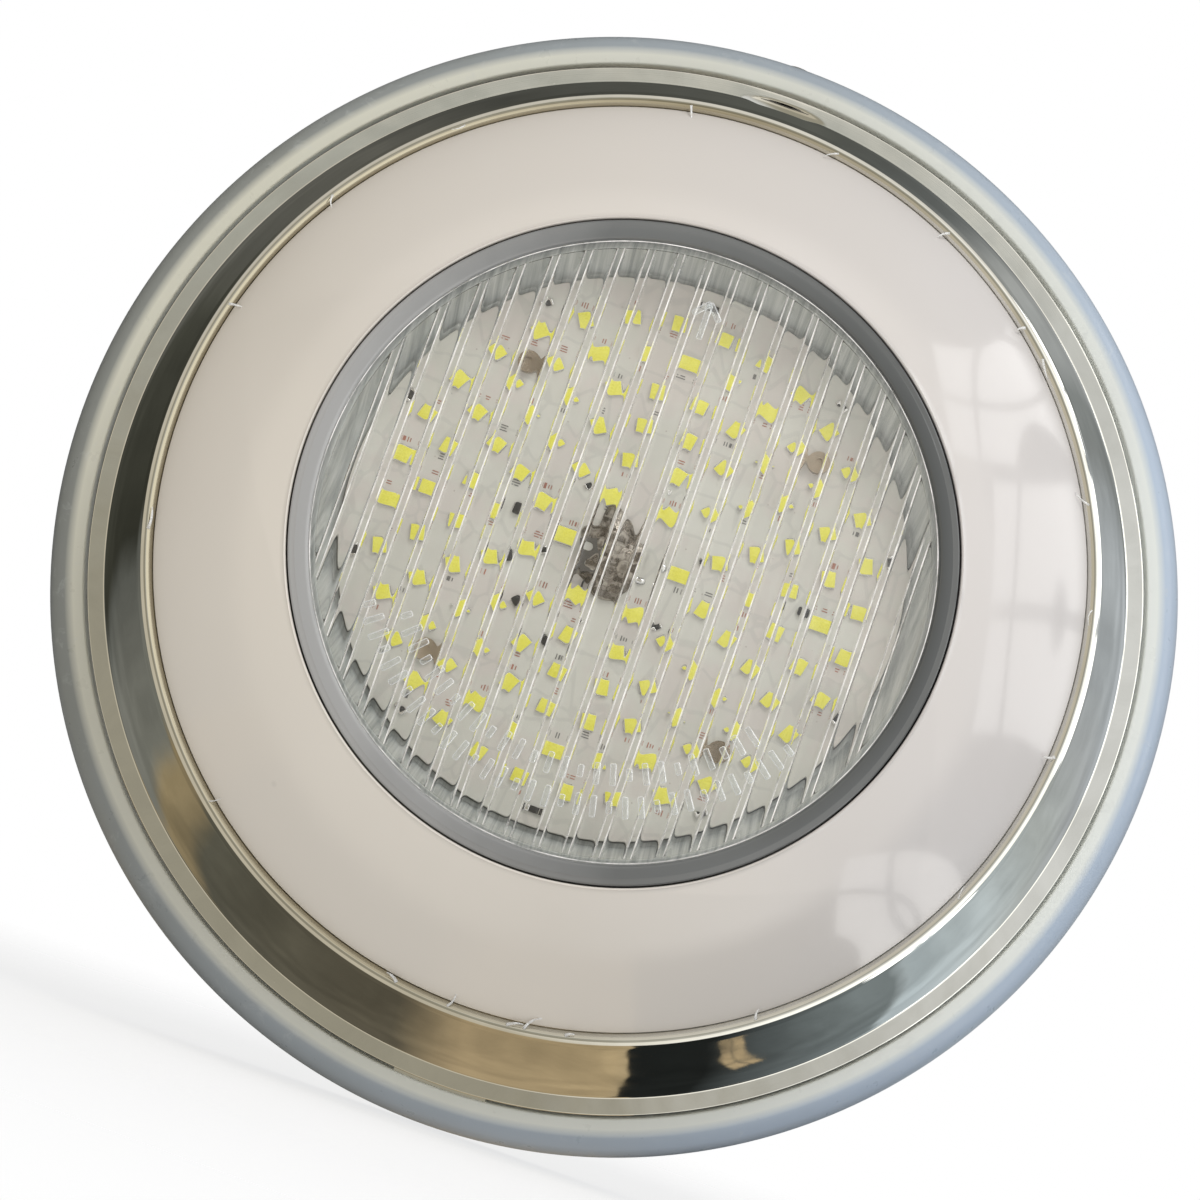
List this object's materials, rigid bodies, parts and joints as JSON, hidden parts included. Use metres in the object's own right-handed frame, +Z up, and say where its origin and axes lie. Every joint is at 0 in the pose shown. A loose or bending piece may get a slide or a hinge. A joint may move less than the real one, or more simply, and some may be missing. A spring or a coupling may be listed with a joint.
{
  "type": "underwater pool light",
  "caption": "Round surface-mounted pool light: wall base, polished ring and white dome that tilt out on a hooked lower edge, fluted clear lens over an LED board, top lock screw.",
  "frame": {"origin": "centre of the wall face of the base", "axes": "+Z up to the light's top, -Y out of the wall along the beam, +X to the right seen from the pool"},
  "size_m": [0.29, 0.085, 0.29],
  "materials": {
    "rim_plastic": "satin translucent off-white",
    "polished_steel": "mirror polished stainless steel",
    "screw_steel": "plain stainless steel",
    "brass": "turned",
    "nylon": "natural nylon",
    "dome_plastic": "glossy warm white",
    "bezel_plastic": "glossy mid grey",
    "shell_plastic": "semi-gloss grey",
    "cup_plastic": "glossy blue-grey",
    "clear_lens": "clear polycarbonate",
    "seal_rubber": "matt black",
    "led_board_white": "white solder mask",
    "led_phosphor": "yellow phosphor gel",
    "component_black": "moulded epoxy",
    "rectifier_board_green": "green solder mask",
    "thermal_pad": "soft silicone pad",
    "spreader_aluminium": "turned",
    "copper_winding": "enamelled copper",
    "wire_insulation": "red PVC",
    "gland_nylon": "moulded nylon",
    "cable_sheath": "black rubber sheath"
  },
  "bodies": {
    "base": {"wall_base": "rim_plastic", "cable_grommet": "seal_rubber", "lock_insert": "brass", "cable": "cable_sheath"},
    "lock_feed": {"lock_washer": "nylon"},
    "lock": {"lock_screw": "screw_steel", "lock_tip": "nylon"},
    "head": {"face_ring": "polished_steel", "hinge_hook": "polished_steel", "dome_screws": "screw_steel", "lamp_shell_screws": "screw_steel", "lamp_clamps": "screw_steel", "lamp_clamp_screws": "screw_steel", "terminal_pins": "screw_steel", "board_screws": "screw_steel", "rectifier_board_screws": "screw_steel", "dome_cover": "dome_plastic", "bezel_ring": "bezel_plastic", "lamp_shell": "shell_plastic", "reflector_cup": "cup_plastic", "lens": "clear_lens", "lens_seal": "seal_rubber", "lamp_gasket": "seal_rubber", "gland_seal": "seal_rubber", "led_board": "led_board_white", "leds": "led_phosphor", "resistors": "component_black", "driver_chips": "component_black", "terminal_block": "component_black", "smoothing_capacitors": "component_black", "bridge_rectifier": "component_black", "rectifier_board": "rectifier_board_green", "thermal_pad": "thermal_pad", "heat_spreader": "spreader_aluminium", "choke": "copper_winding", "supply_wires": "wire_insulation", "cable_cores": "wire_insulation", "gland_body": "gland_nylon", "gland_locknut": "gland_nylon", "gland_cap": "gland_nylon"}
  },
  "joints": [
    {"name": "head_tilt", "type": "hinge", "parent": "base", "child": "head", "pos_m": [0, -0.0218, -0.134], "axis": [1, 0, 0], "range_deg": [0, 35], "deforming": ["cable"]},
    {"name": "lock_feed", "type": "slide", "parent": "base", "child": "lock_feed", "axis": [0, 0, 1], "range_m": [0, 0.0035]},
    {"name": "lock_turn", "type": "hinge", "parent": "lock_feed", "child": "lock", "pos_m": [0, -0.011, 0.14], "axis": [0, 0, 1], "range_deg": [0, 1800]}
  ],
  "couplings": [
    {"joint": "lock_turn", "follows": "lock_feed", "rad_per_m": 8975}
  ]
}
